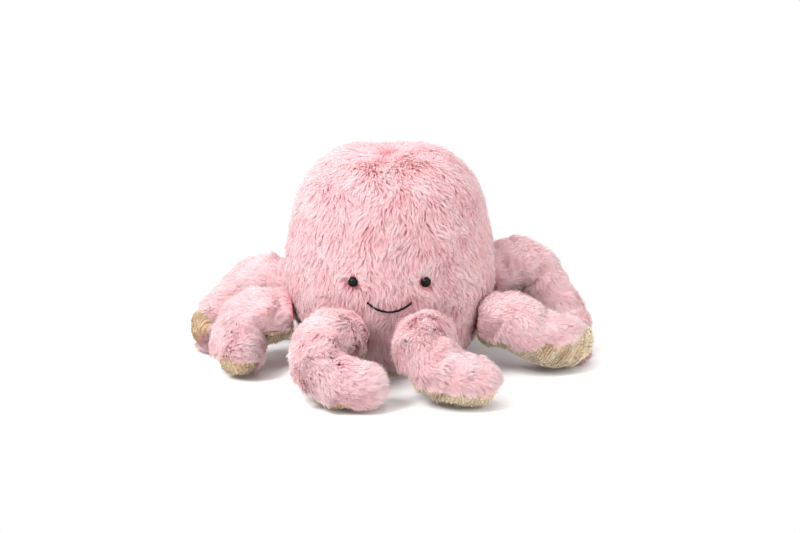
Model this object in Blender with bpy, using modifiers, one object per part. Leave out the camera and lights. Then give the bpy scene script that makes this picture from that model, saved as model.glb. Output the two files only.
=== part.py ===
# A plush octopus: a stuffed fur head on a flat base, with eight curling tentacles.
#
# Frame: +Z up, the face looks towards -Y, +X is the viewer's right. The origin is the
# middle of the flat base, which rests on the ground with the undersides of the tentacles.
# Each tentacle has two rigid lengths. Its root length hinges on the body about a level
# axis, and its tip length hinges on the root length about an upright axis. Both hinges
# stand for cloth that flexes: each length starts in a ball, centred on its hinge.

import math

import bmesh
import bpy
from mathutils import Matrix, Vector

# Driving sizes, in metres and degrees.
HEAD_RADIUS = 0.0945  # over the fur, at the widest height
HEAD_HEIGHT = 0.195
BASE_RADIUS = 0.056
FUR_THICKNESS = 0.006  # backing cloth with its pile
CORD_THICKNESS = 0.003  # ribbed cloth of the undersides
SEAM_GAP = 0.0003  # between pieces that touch
LIMB_SEAM_GAP = 0.0008  # between a tentacle's fur and its underside, where both twist
BASE_FLAT = 0.0005  # how deep the soft undersides are pressed flat
EYE_RADIUS = 0.0042
EYE_SPACING = 0.062
EYE_HEIGHT = 0.0934
EYE_STEM_RADIUS = 0.0014
EYE_STEM_LENGTH = 0.014
EYE_BACKING = 0.0018  # cloth left between the eye and its washer
WASHER_RADIUS = 0.0065
WASHER_THICKNESS = 0.0016
MOUTH_WIDTH = 0.039
MOUTH_HEIGHT = 0.0690  # of the lowest stitch
MOUTH_RISE = 0.0085
MOUTH_THREAD_RADIUS = 0.0009
POUCH_RADIUS = 0.040
POUCH_HEIGHT = 0.026
LIMB_REACH = 0.100  # unit of the routes' level shares
ROOT_RADIUS = 0.0235  # ball at the body
ROOT_HEIGHT = 0.046  # of most root balls
ROOT_CIRCLE_SHARE = 1.053  # of the head's radius: the circle of the root balls
MID_RADIUS = 0.0236  # ball between the two lengths
TIP_RADIUS = 0.0210
CURL_CLEARANCE_DEG = 46  # between the end of a root length and its tip length
CAVITY_LEAST_RADIUS = 0.0012  # a skin's hollow where it closes at an end
CORE_LEAST_RADIUS = 0.0040  # the stuffing stops where it would be thinner
OVERRUN = 0.020  # how far cutters reach past what they cut
AXIS_MERGE = 0.00005  # corners this close on a turned piece's axis are one

# The head's outline over the fur, as shares of its radius and height, top to bottom.
HEAD_OUTLINE_SHARES = (
    (0.0, 0.972),
    (0.14, 0.985),
    (0.27, 1.0),
    (0.42, 0.986),
    (0.56, 0.952),
    (0.70, 0.888),
    (0.82, 0.80),
    (0.90, 0.70),
    (0.965, 0.585),
    (0.992, 0.49),
    (1.0, 0.405),
    (0.975, 0.31),
    (0.93, 0.225),
    (0.86, 0.145),
    (0.76, 0.068),
)
SWELL_SHARE = 0.07  # a length is this much fatter between its ends

# Each tentacle: its bearing from the front in degrees, anticlockwise from above; its root
# ball, one point of its root length and its hinge, as shares (out, sideways, up), out and
# sideways from the ball times LIMB_REACH, up from lying on the ground (0) to ROOT_HEIGHT (1).
ROOT_ROUTE_SHARES = {
    "front_left": (-23, (0, 0, 1.0), (0.13, -0.05, 1.0), (0.24, -0.10, 0.85)),
    "front_right": (18, (0, 0, 1.0), (0.13, -0.05, 1.0), (0.24, -0.10, 0.85)),
    "right_front": (68, (0, 0, 1.0), (0.18, 0.0, 0.95), (0.31, 0.01, 0.65)),
    "right_back": (108, (0, 0, 2.10), (0.19, 0.0, 2.30), (0.34, -0.01, 2.05)),
    "back_right": (157, (0, 0, 1.0), (0.20, 0.0, 0.90), (0.35, -0.01, 0.60)),
    "back_left": (-157, (0, 0, 1.0), (0.20, 0.0, 0.90), (0.35, 0.01, 0.60)),
    "left_back": (-112, (0, 0, 1.25), (0.20, 0.0, 1.42), (0.36, 0.01, 1.18)),
    "left_front": (-76, (0, 0, 1.0), (0.17, -0.02, 0.95), (0.27, -0.04, 0.75)),
}
# Each tip length: its heading at the hinge, away from outwards, and how far it curls, in
# degrees anticlockwise from above; its share of TIP_LENGTH; the share of that over which
# it comes down to the ground; how far its underside is rolled by the end, in degrees.
TIP_TURN_SHARES = {
    "front_left": (6, 146, 1.24, 0.85, 40),
    "front_right": (6, 112, 1.12, 0.85, -25),
    "right_front": (22, 90, 1.10, 0.85, -110),
    "right_back": (-14, -104, 0.95, 1.0, 35),
    "back_right": (-22, -86, 1.0, 0.85, 30),
    "back_left": (22, 86, 1.0, 0.85, -30),
    "left_back": (26, 94, 1.05, 0.85, -100),
    "left_front": (26, 116, 0.86, 0.85, -30),
}
TIP_LENGTH = 0.061  # from the hinge to the end
TIP_POINTS = 5

SECTION_SIDES = 8
FUR_SIDES = 5
FIRST_CORNER_DEG = -22.5
ROUTE_STEPS = 6  # points read from each stretch of a route
RING_SPACING = 0.0095
CAP_SHARES = (0.94, 0.62)  # rings of a rounded end, as shares of its radius
GORE_STEPS = 20
BALL_SEGMENTS = 20
MOUTH_STEPS = 12
STEM_SIDES = 10
EYE_SIDES = 18
POUCH_RIM_DEG = (75, 40, 0, -40, -75)
FUR_PINK = (0.84, 0.55, 0.57, 1.0)
CORD_BEIGE = (0.78, 0.60, 0.40, 1.0)
FIBRE_WHITE = (0.90, 0.89, 0.86, 1.0)
PLASTIC_BLACK = (0.006, 0.006, 0.007, 1.0)
WASHER_WHITE = (0.80, 0.80, 0.78, 1.0)
THREAD_BLACK = (0.012, 0.010, 0.010, 1.0)
POUCH_COTTON = (0.82, 0.78, 0.70, 1.0)

ROOT_CIRCLE = ROOT_CIRCLE_SHARE * HEAD_RADIUS

for old in list(bpy.data.objects):
    bpy.data.objects.remove(old)

octopus = bpy.data.collections.new("plush_octopus")
cutters = bpy.data.collections.new("cutters")
bpy.context.scene.collection.children.link(octopus)
bpy.context.scene.collection.children.link(cutters)


def material(name, colour, roughness):
    made = bpy.data.materials.new(name)
    made.use_nodes = True
    shader = made.node_tree.nodes["Principled BSDF"]
    shader.inputs["Base Color"].default_value = colour
    shader.inputs["Roughness"].default_value = roughness
    shader.inputs["Metallic"].default_value = 0.0
    return made


fur = material("pink_fur", FUR_PINK, 0.95)
cord = material("ribbed_beige_cloth", CORD_BEIGE, 0.9)
fibre = material("polyester_fibre", FIBRE_WHITE, 1.0)
black_plastic = material("black_plastic", PLASTIC_BLACK, 0.08)
washer_plastic = material("washer_plastic", WASHER_WHITE, 0.45)
thread = material("black_thread", THREAD_BLACK, 0.6)
cotton = material("pouch_cotton", POUCH_COTTON, 0.9)


def add_object(name, mesh, finish, place=(0, 0, 0)):
    made = bpy.data.objects.new(name, mesh)
    made.location = place
    if finish is None:
        cutters.objects.link(made)
        made.hide_render = True
        made.display_type = "WIRE"
    else:
        octopus.objects.link(made)
        mesh.materials.append(finish)
        mesh.shade_smooth()
    return made


def boolean(target, cutter, operation="DIFFERENCE", solver="EXACT"):
    step = target.modifiers.new(cutter.name, "BOOLEAN")
    step.operation = operation
    step.solver = solver
    step.object = cutter


def mesh_from_bmesh(name, built):
    bmesh.ops.recalc_face_normals(built, faces=built.faces)
    mesh = bpy.data.meshes.new(name)
    built.to_mesh(mesh)
    built.free()
    return mesh


def turned(name, outline, finish):
    """A closed body of revolution about Z: the outline runs from the axis to the axis, top to bottom."""
    mesh = bpy.data.meshes.new(name)
    edges = [(i, i + 1) for i in range(len(outline) - 1)]
    mesh.from_pydata([(radius, 0, height) for radius, height in outline], edges, [])
    made = add_object(name, mesh, finish)
    spin = made.modifiers.new("turn", "SCREW")
    spin.angle = 2 * math.pi
    spin.steps = GORE_STEPS
    spin.render_steps = GORE_STEPS
    spin.use_merge_vertices = True
    spin.merge_threshold = AXIS_MERGE
    return made


def ball(name, centre, radius, finish):
    built = bmesh.new()
    bmesh.ops.create_uvsphere(built, u_segments=BALL_SEGMENTS, v_segments=BALL_SEGMENTS // 2, radius=radius)
    return add_object(name, mesh_from_bmesh(name, built), finish, centre)


def ball_room(name, centre, radius):
    """Room for a ball of this radius: its flats, not only its corners, clear the ball."""
    flat_share = math.cos(math.pi / BALL_SEGMENTS) ** 2
    return ball(name, centre, (radius + SEAM_GAP) / flat_share, None)


def rod(name, start, direction, length, radius, finish, sides):
    """A round rod from start along direction."""
    built = bmesh.new()
    bmesh.ops.create_cone(
        built, cap_ends=True, segments=sides, radius1=radius, radius2=radius, depth=length
    )
    bmesh.ops.translate(built, verts=built.verts, vec=(0, 0, length / 2))
    made = add_object(name, mesh_from_bmesh(name, built), finish, start)
    made.rotation_euler = direction.to_track_quat("Z", "Y").to_euler()
    return made


def outline_inset(inset):
    """The head's outline moved inwards along its normal."""
    points = [Vector((r * HEAD_RADIUS, z * HEAD_HEIGHT)) for r, z in HEAD_OUTLINE_SHARES]
    points.append(Vector((BASE_RADIUS, 0)))
    moved = []
    for i, point in enumerate(points):
        run = points[min(i + 1, len(points) - 1)] - points[max(i - 1, 0)]
        inward = Vector((run.y, -run.x)).normalized()
        if i == 0:
            inward = Vector((0, -1))
        moved.append(point + inward * inset)
    return moved


def head_surface(height, inset=0.0):
    """The head's radius at a height, at some depth under the fur's surface."""
    points = outline_inset(inset)
    for upper, lower in zip(points, points[1:]):
        if lower.y <= height <= upper.y and upper.x > BASE_RADIUS / 2:
            share = (height - lower.y) / (upper.y - lower.y)
            return lower.x + (upper.x - lower.x) * share
    return points[-1].x


# Head: four fur panels with seams at 45 degrees to the face, thickened inwards.
HEAD_PANEL_BEARINGS = {
    "face_fur_panel": -90,
    "right_side_fur_panel": 0,
    "back_fur_panel": 90,
    "left_side_fur_panel": 180,
}
head_panels = {}


def quadrant(name, bearing):
    """A square prism whose edge is the head's axis: what it shares with the head is one panel."""
    side = HEAD_RADIUS + OVERRUN
    built = bmesh.new()
    bmesh.ops.create_cube(built, size=1)
    bmesh.ops.scale(built, verts=built.verts, vec=(side, side, HEAD_HEIGHT + 2 * OVERRUN))
    middle = side / 2 + SEAM_GAP / 2
    bmesh.ops.translate(built, verts=built.verts, vec=(middle, middle, HEAD_HEIGHT / 2))
    turn = math.radians(bearing - 45)
    bmesh.ops.rotate(built, verts=built.verts, cent=(0, 0, 0), matrix=Matrix.Rotation(turn, 3, "Z"))
    return add_object(name, mesh_from_bmesh(name, built), None)


panel_floor = CORD_THICKNESS + SEAM_GAP
outer_line = [p for p in outline_inset(0) if p.y > panel_floor]
inner_line = [p for p in outline_inset(FUR_THICKNESS) if p.y > panel_floor]
hem_outer = Vector((head_surface(panel_floor), panel_floor))
hem_inner = Vector((head_surface(panel_floor, FUR_THICKNESS), panel_floor))
shell_line = outer_line + [hem_outer, hem_inner] + inner_line[::-1]
for panel_name, panel_bearing in HEAD_PANEL_BEARINGS.items():
    panel = turned(panel_name, shell_line, fur)
    boolean(panel, quadrant(panel_name + "_quadrant", panel_bearing), "INTERSECT")
    head_panels[panel_name] = panel

# Base: a round of ribbed cloth that closes the head, flat on the ground.
base_edge = head_surface(CORD_THICKNESS / 2)
base_panel = turned(
    "base_panel",
    [
        Vector((0, CORD_THICKNESS)),
        Vector((base_edge, CORD_THICKNESS)),
        Vector((BASE_RADIUS, 0)),
        Vector((0, 0)),
    ],
    cord,
)

# Stuffing: the fibre that fills the head, over a flat pouch of pellets that weights it.
stuffing_line = [p for p in outline_inset(FUR_THICKNESS + SEAM_GAP) if p.y > panel_floor]
stuffing_line.append(Vector((head_surface(panel_floor, FUR_THICKNESS + SEAM_GAP), panel_floor)))
stuffing_line.append(Vector((0, panel_floor)))
body_stuffing = turned("body_stuffing", stuffing_line, fibre)


def pouch_line(grown):
    """The pouch's outline: a flat cushion, round at its rim, on the base."""
    low = panel_floor - grown
    half = POUCH_HEIGHT / 2 + grown
    points = [Vector((0, low + 2 * half))]
    for degrees in POUCH_RIM_DEG:
        angle = math.radians(degrees)
        across = POUCH_RADIUS - half + (half + grown) * math.cos(angle)
        points.append(Vector((across, low + half + half * math.sin(angle))))
    points.append(Vector((0, low)))
    return points


pellet_pouch = turned("pellet_pouch", pouch_line(0), cotton)
pouch_room = turned("pouch_room", pouch_line(SEAM_GAP), None)
boolean(body_stuffing, pouch_room)

# Eyes: a black dome on a stem that passes through the face and locks in a washer inside.
face = head_panels["face_fur_panel"]


def make_eye(side_name, side):
    across = side * EYE_SPACING / 2
    ring = head_surface(EYE_HEIGHT, FUR_THICKNESS - EYE_BACKING)
    seat = Vector((across, -math.sqrt(ring**2 - across**2), EYE_HEIGHT))
    inward = Vector((-seat.x, -seat.y, 0)).normalized()
    dome_back = seat - inward * SEAM_GAP
    dome = ball(side_name + "_eye", dome_back, EYE_RADIUS, black_plastic)
    boolean(dome, rod(side_name + "_eye_back", dome_back, inward, OVERRUN, EYE_RADIUS * 2, None, EYE_SIDES))
    stem_start = dome_back - inward * EYE_RADIUS / 2
    stem_name = side_name + "_eye_stem"
    stem = rod(stem_name, stem_start, inward, EYE_STEM_LENGTH, EYE_STEM_RADIUS, None, STEM_SIDES)
    boolean(dome, stem, "UNION")
    socket = rod(side_name + "_eye_socket", seat, -inward, OVERRUN, EYE_RADIUS + SEAM_GAP, None, EYE_SIDES)
    bore_length = EYE_STEM_LENGTH + SEAM_GAP
    bore_radius = EYE_STEM_RADIUS + SEAM_GAP
    bore = rod(side_name + "_eye_bore", stem_start, inward, bore_length, bore_radius, None, STEM_SIDES)
    washer_seat = seat + inward * (EYE_BACKING + 2 * SEAM_GAP)
    washer_name = side_name + "_eye_washer"
    washer = rod(
        washer_name, washer_seat, inward, WASHER_THICKNESS, WASHER_RADIUS, washer_plastic, EYE_SIDES
    )
    room_start = washer_seat - inward * 2 * SEAM_GAP
    room_depth = WASHER_THICKNESS + 3 * SEAM_GAP
    room = rod(
        side_name + "_washer_room",
        room_start,
        inward,
        room_depth,
        WASHER_RADIUS + SEAM_GAP,
        None,
        EYE_SIDES,
    )
    boolean(washer, bore)
    for cutter in (socket, bore, room):
        boolean(face, cutter)
    for cutter in (room, bore):
        boolean(body_stuffing, cutter)


make_eye("left", -1)
make_eye("right", 1)


def mouth_curve(name, radius, finish):
    """A smile that lies half sunk in the fur, as one thread."""
    line = bpy.data.curves.new(name, "CURVE")
    line.dimensions = "3D"
    line.bevel_depth = radius
    line.bevel_resolution = 1
    line.use_fill_caps = True
    spline = line.splines.new("POLY")
    spline.points.add(MOUTH_STEPS)
    for i in range(MOUTH_STEPS + 1):
        share = 2 * i / MOUTH_STEPS - 1
        height = MOUTH_HEIGHT + MOUTH_RISE * share**2
        across = share * MOUTH_WIDTH / 2
        depth = -math.sqrt(head_surface(height) ** 2 - across**2)
        spline.points[i].co = (across, depth, height, 1)
    guide = bpy.data.objects.new(name + "_line", line)
    cutters.objects.link(guide)
    graph = bpy.context.evaluated_depsgraph_get()
    mesh = bpy.data.meshes.new_from_object(guide.evaluated_get(graph))
    bpy.data.objects.remove(guide)
    built = bmesh.new()
    built.from_mesh(mesh)
    bmesh.ops.remove_doubles(built, verts=built.verts, dist=AXIS_MERGE / 5)
    return add_object(name, mesh_from_bmesh(name, built), finish)


mouth_curve("mouth_stitching", MOUTH_THREAD_RADIUS, thread)
boolean(face, mouth_curve("mouth_groove", MOUTH_THREAD_RADIUS + SEAM_GAP, None))


def smooth_route(points):
    """A smooth line through the points, as many short straight steps."""
    ends = [points[0] * 2 - points[1], *points, points[-1] * 2 - points[-2]]
    line = []
    for a, b, c, d in zip(ends, ends[1:], ends[2:], ends[3:]):
        for step in range(ROUTE_STEPS):
            t = step / ROUTE_STEPS
            square = 2 * a - 5 * b + 4 * c - d
            cube = 3 * b - a - 3 * c + d
            line.append((2 * b + (c - a) * t + square * t**2 + cube * t**3) / 2)
    line.append(points[-1])
    return line


def lengths_along(line):
    total = [0.0]
    for a, b in zip(line, line[1:]):
        total.append(total[-1] + (b - a).length)
    return total


def at_length(line, lengths, wanted):
    """The place and direction at a length along a line, straight on before and past its ends."""
    for i in range(len(line) - 1):
        if wanted <= lengths[i + 1] or i == len(line) - 2:
            run = line[i + 1] - line[i]
            share = (wanted - lengths[i]) / (lengths[i + 1] - lengths[i])
            return line[i] + run * share, run.normalized()
    return line[-1], (line[-1] - line[-2]).normalized()


def ring_plan(start, end, start_radius, end_radius, round_end):
    """(length along the route, radius) of each ring: a rounded start, a swelling run and the end."""
    plan = []
    for share in CAP_SHARES:
        plan.append((start - start_radius * share, start_radius * math.sqrt(1 - share**2)))
    run = end - start
    count = max(2, round(run / RING_SPACING))
    for i in range(count + 1):
        share = i / count
        swell = 1 + SWELL_SHARE * math.sin(math.pi * share)
        plan.append((start + run * share, (start_radius + (end_radius - start_radius) * share) * swell))
    if round_end:
        for share in CAP_SHARES[::-1]:
            plan.append((end + end_radius * share, end_radius * math.sqrt(1 - share**2)))
    return plan


def section_frames(line, plan, roll):
    """Each ring's centre, its side and its upper direction; the section rolls by the end."""
    lengths = lengths_along(line)
    frames = []
    for distance, radius in plan:
        place, along = at_length(line, lengths, distance)
        side = along.cross(Vector((0, 0, 1))).normalized()
        upper = side.cross(along)
        share = min(max(distance / lengths[-1], 0), 1)
        turn = Matrix.Rotation(math.radians(roll) * share, 3, along)
        frames.append((place, turn @ side, turn @ upper, radius))
    return frames


def corner(frame, number, radius, shift=0.0):
    """One corner of a section: number counts its corners, shift moves it along the rim."""
    place, side, upper, _ = frame
    angle = math.radians(FIRST_CORNER_DEG + number * 360 / SECTION_SIDES)
    out = side * math.cos(angle) + upper * math.sin(angle)
    rim = upper * math.cos(angle) - side * math.sin(angle)
    return place + out * radius + rim * shift


def loft(name, loops, caps, finish, leaning, hinge, inner_from=None):
    """A closed body through rings of equal count; caps lists the faces that close a ring.

    The object's origin is its length's hinge.

    Each side is two triangles, whose shared edge leans the way the route rolls. Corners
    from inner_from on are a skin's inside, and run the other way round: they are cut along
    the same edges as the stuffing under them. The skin's two walls between outside and
    inside are cut alike, so that the walls of neighbouring skins follow each other.
    """
    built = bmesh.new()
    rings = [[built.verts.new(point - hinge) for point in loop] for loop in loops]
    count = len(loops[0])
    backward = [(inner_from is not None and i >= inner_from) == leaning for i in range(count)]
    if inner_from is not None:
        backward[inner_from - 1] = False
        backward[count - 1] = True
    for ring, following in zip(rings, rings[1:]):
        for i in range(count):
            j = (i + 1) % count
            if backward[i]:
                built.faces.new((ring[i], ring[j], following[i]))
                built.faces.new((ring[j], following[j], following[i]))
            else:
                built.faces.new((ring[i], ring[j], following[j]))
                built.faces.new((ring[i], following[j], following[i]))
    for ring in (rings[0], rings[-1]):
        for face_corners in caps:
            built.faces.new([ring[i] for i in face_corners])
    return add_object(name, mesh_from_bmesh(name, built), finish, hinge)


def pressed(points):
    """The same points, pressed flat on the ground."""
    return [Vector((p.x, p.y, max(p.z, 0))) for p in points]


def skin(name, frames, first, sides, thickness, finish, leaning, hinge):
    """One cloth panel: the part of a tube from corner first over some sides."""
    loops = []
    for frame in frames:
        outer, inner = [], []
        hollow = max(frame[3] - thickness, CAVITY_LEAST_RADIUS)
        for i in range(sides + 1):
            shift = LIMB_SEAM_GAP / 2 if i == 0 else -LIMB_SEAM_GAP / 2 if i == sides else 0
            outer.append(corner(frame, first + i, frame[3], shift))
            inner.append(corner(frame, first + i, hollow, shift))
        loops.append(pressed(outer) + inner[::-1])
    last = 2 * sides + 1
    caps = [(i, i + 1, last - i - 1, last - i) for i in range(sides)]
    return loft(name, loops, caps, finish, leaning, hinge, sides + 1)


def core(name, frames, finish, leaning, hinge):
    """The fibre inside a length, clear of both skins."""
    loops = []
    for frame in frames:
        under_fur = frame[3] - FUR_THICKNESS - SEAM_GAP
        under_cord = frame[3] - CORD_THICKNESS - SEAM_GAP
        if under_fur < CORE_LEAST_RADIUS:
            continue
        loops.append(
            [corner(frame, i, under_fur if i <= FUR_SIDES else under_cord) for i in range(SECTION_SIDES)]
        )
    return loft(name, loops, [tuple(range(SECTION_SIDES))], finish, leaning, hinge)


def limb_length(name, line, plan, roll, sockets):
    """A length's fur, underside and stuffing, all around the start of its line."""
    frames = section_frames(line, plan, roll)
    leaning = roll >= 0
    hinge = line[0]
    cord_sides = SECTION_SIDES - FUR_SIDES
    pieces = (
        skin(name + "_fur", frames, 0, FUR_SIDES, FUR_THICKNESS, fur, leaning, hinge),
        skin(name + "_underside", frames, FUR_SIDES, cord_sides, CORD_THICKNESS, cord, leaning, hinge),
        core(name + "_stuffing", frames, fibre, leaning, hinge),
    )
    # The exact solver drops some of these strips whole, so the other one cuts them.
    for piece in pieces:
        for socket in sockets:
            boolean(piece, socket, solver="MANIFOLD")


def lying_height(radius):
    """How high a length's middle line is where its underside is pressed on the ground."""
    return radius * (1 + SWELL_SHARE / 2) - BASE_FLAT


def route_points(name):
    """The points that a tentacle's middle line passes through, from the root ball to the tip."""
    bearing, *root_shares = ROOT_ROUTE_SHARES[name]
    heading, curl, length_share, fall_share, _ = TIP_TURN_SHARES[name]
    turn = math.radians(bearing)
    out = Vector((math.sin(turn), -math.cos(turn), 0))
    sideways = Vector((math.cos(turn), math.sin(turn), 0))
    points = []
    lying = lying_height(MID_RADIUS)
    for far, beside, up in root_shares:
        level = out * ROOT_CIRCLE + (out * far + sideways * beside) * LIMB_REACH
        points.append(Vector((level.x, level.y, lying + up * (ROOT_HEIGHT - lying))))
    start_height = points[-1].z
    end_height = lying_height(TIP_RADIUS)
    place = points[-1]
    stride = TIP_LENGTH * length_share / TIP_POINTS
    for i in range(TIP_POINTS):
        angle = math.radians(heading + curl * (i + 0.5) / TIP_POINTS)
        place = place + (out * math.cos(angle) + sideways * math.sin(angle)) * stride
        left = max(1 - (i + 1) / TIP_POINTS / fall_share, 0)
        points.append(Vector((place.x, place.y, end_height + (start_height - end_height) * left**2)))
    return points


def make_limb(name):
    points = route_points(name)
    root = points[0]
    line = smooth_route(points)
    hinge_step = ROUTE_STEPS * 2
    root_line, tip_line = line[: hinge_step + 1], line[hinge_step:]
    hinge = line[hinge_step]
    # The root ball's room in the body.
    room = ball_room(name + "_root_room", root, ROOT_RADIUS)
    for part in (*head_panels.values(), body_stuffing):
        boolean(part, room)
    # The tip length's ball has its room in the end of the root length.
    joint_room = ball_room(name + "_hinge_room", hinge, MID_RADIUS)
    before_hinge = MID_RADIUS * math.sin(math.radians(CURL_CLEARANCE_DEG)) + SEAM_GAP
    root_end = lengths_along(root_line)[-1] - before_hinge
    root_plan = ring_plan(0, root_end, ROOT_RADIUS, MID_RADIUS, False)
    limb_length(name + "_root", root_line, root_plan, 0, [joint_room])
    tip_plan = ring_plan(0, lengths_along(tip_line)[-1] - TIP_RADIUS, MID_RADIUS, TIP_RADIUS, True)
    limb_length(name + "_tip", tip_line, tip_plan, TIP_TURN_SHARES[name][-1], [])
    print(name, "root", [round(c, 5) for c in root], "hinge", [round(c, 5) for c in hinge])


for limb_name in ROOT_ROUTE_SHARES:
    make_limb(limb_name)
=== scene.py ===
# The looks of a plush octopus: long pink pile, ribbed beige undersides, bead eyes, a
# stitched smile, and the filling inside. Metres, +Z up, the face looks towards -Y.

import math

import bpy
import numpy as np
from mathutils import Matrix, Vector, noise
from mathutils.kdtree import KDTree


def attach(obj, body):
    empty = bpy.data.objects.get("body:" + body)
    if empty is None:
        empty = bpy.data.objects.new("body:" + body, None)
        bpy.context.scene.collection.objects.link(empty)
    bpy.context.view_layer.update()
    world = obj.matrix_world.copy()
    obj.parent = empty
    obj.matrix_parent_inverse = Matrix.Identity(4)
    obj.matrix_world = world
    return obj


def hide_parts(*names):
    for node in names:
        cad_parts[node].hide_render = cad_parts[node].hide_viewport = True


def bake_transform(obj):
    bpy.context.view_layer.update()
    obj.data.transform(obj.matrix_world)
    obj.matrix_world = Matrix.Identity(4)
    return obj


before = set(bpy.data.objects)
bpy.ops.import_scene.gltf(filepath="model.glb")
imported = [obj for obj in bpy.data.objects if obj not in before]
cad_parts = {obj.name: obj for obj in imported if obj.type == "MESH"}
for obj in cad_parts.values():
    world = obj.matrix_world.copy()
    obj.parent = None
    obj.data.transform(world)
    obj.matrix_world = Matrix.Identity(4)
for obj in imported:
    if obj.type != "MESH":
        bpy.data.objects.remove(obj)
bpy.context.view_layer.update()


# The setting: a white sweep under soft studio light, brightest from the upper left, seen
# from slightly above by a long lens.
def linear(code):
    """A colour written as sRGB hex, as the linear values that shaders take."""
    parts = [int(code[i : i + 2], 16) / 255 for i in (0, 2, 4)]
    return tuple(p / 12.92 if p <= 0.04045 else ((p + 0.055) / 1.055) ** 2.4 for p in parts) + (1.0,)


def add_node(tree, kind, settings=None, links=None):
    """A shader node with its settings (by name or socket name) and what feeds its inputs."""
    made = tree.nodes.new(kind)
    for name, value in (settings or {}).items():
        if isinstance(name, str) and hasattr(made, name):
            setattr(made, name, value)
        else:
            made.inputs[name].default_value = value
    for name, source in (links or {}).items():
        tree.links.new(source, made.inputs[name])
    return made


def new_material(name):
    """An empty node material and its output node."""
    made = bpy.data.materials.new(name)
    made.use_nodes = True
    made.node_tree.nodes.clear()
    return made, made.node_tree, made.node_tree.nodes.new("ShaderNodeOutputMaterial")


VIEW_DISTANCE = 2.0
VIEW_ELEVATION = math.radians(15)
VIEW_WIDTH = 0.72
VIEW_SHIFT = (0.009, 0.0815)
eye_line = Vector((0, math.cos(VIEW_ELEVATION), -math.sin(VIEW_ELEVATION)))
view_up = Vector((0, math.sin(VIEW_ELEVATION), math.cos(VIEW_ELEVATION)))
camera = bpy.data.objects.new("camera", bpy.data.cameras.new("camera"))
camera.location = Vector((VIEW_SHIFT[0], 0, 0)) + view_up * VIEW_SHIFT[1] - eye_line * VIEW_DISTANCE
camera.rotation_euler = eye_line.to_track_quat("-Z", "Y").to_euler()
camera.data.lens = camera.data.sensor_width * VIEW_DISTANCE / VIEW_WIDTH
bpy.context.scene.collection.objects.link(camera)
bpy.context.scene.camera = camera
bpy.context.scene.view_settings.view_transform = "Standard"

for lamp_name, place, power, size in (
    ("key_light", (-1.3, -1.2, 1.9), 66, 0.9),
    ("fill_light", (1.6, -1.4, 1.1), 17, 1.6),
    ("top_light", (0.0, -0.3, 2.3), 24, 2.0),
):
    lamp = bpy.data.objects.new(lamp_name, bpy.data.lights.new(lamp_name, "AREA"))
    lamp.data.energy = power
    lamp.data.size = size
    lamp.location = place
    lamp.rotation_euler = (Vector((0, 0, 0.08)) - Vector(place)).to_track_quat("-Z", "Y").to_euler()
    bpy.context.scene.collection.objects.link(lamp)

world = bpy.data.worlds.new("studio")
bpy.context.scene.world = world
world.use_nodes = True
world.node_tree.nodes.clear()
rays = add_node(world.node_tree, "ShaderNodeLightPath")
seen = add_node(
    world.node_tree,
    "ShaderNodeMath",
    {"operation": "MAXIMUM"},
    {0: rays.outputs["Is Camera Ray"], 1: rays.outputs["Is Glossy Ray"]},
)
seen = add_node(
    world.node_tree,
    "ShaderNodeMath",
    {"operation": "MAXIMUM"},
    {0: seen.outputs[0], 1: rays.outputs["Is Transmission Ray"]},
)
around = add_node(world.node_tree, "ShaderNodeBackground", {"Color": linear("FFFFFF"), "Strength": 0.78})
white = add_node(world.node_tree, "ShaderNodeBackground", {"Color": linear("FFFFFF"), "Strength": 1.0})
either = add_node(
    world.node_tree,
    "ShaderNodeMixShader",
    {},
    {0: seen.outputs[0], 1: around.outputs[0], 2: white.outputs[0]},
)
add_node(world.node_tree, "ShaderNodeOutputWorld", {}, {"Surface": either.outputs[0]})

floor_mesh = bpy.data.meshes.new("floor")
FLOOR_HALF, FLOOR_LEVEL = 6, -0.0002
floor_signs = ((-1, -1), (1, -1), (1, 1), (-1, 1))
floor_corners = [(x * FLOOR_HALF, y * FLOOR_HALF, FLOOR_LEVEL) for x, y in floor_signs]
floor_mesh.from_pydata(floor_corners, [], [(0, 1, 2, 3)])
floor = bpy.data.objects.new("floor", floor_mesh)
bpy.context.scene.collection.objects.link(floor)
# Close to the toy the paper takes its shadow, and further away it fades to plain white.
floor_white, tree, out = new_material("floor_white")
paper = add_node(tree, "ShaderNodeBsdfDiffuse", {"Color": linear("F4F4F4")})
blank = add_node(tree, "ShaderNodeEmission", {"Color": linear("FFFFFF"), "Strength": 1.0})
point = add_node(tree, "ShaderNodeNewGeometry")
far = add_node(tree, "ShaderNodeVectorMath", {"operation": "LENGTH"}, {0: point.outputs["Position"]})
fade = add_node(
    tree,
    "ShaderNodeMapRange",
    {"interpolation_type": "SMOOTHSTEP", "From Min": 0.20, "From Max": 0.42},
    {"Value": far.outputs["Value"]},
)
rays = add_node(tree, "ShaderNodeLightPath")
faded = add_node(
    tree,
    "ShaderNodeMath",
    {"operation": "MULTIPLY"},
    {0: rays.outputs["Is Camera Ray"], 1: fade.outputs["Result"]},
)
pick = add_node(
    tree, "ShaderNodeMixShader", {}, {0: faded.outputs[0], 1: paper.outputs[0], 2: blank.outputs[0]}
)
tree.links.new(pick.outputs[0], out.inputs["Surface"])
floor_mesh.materials.append(floor_white)


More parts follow.
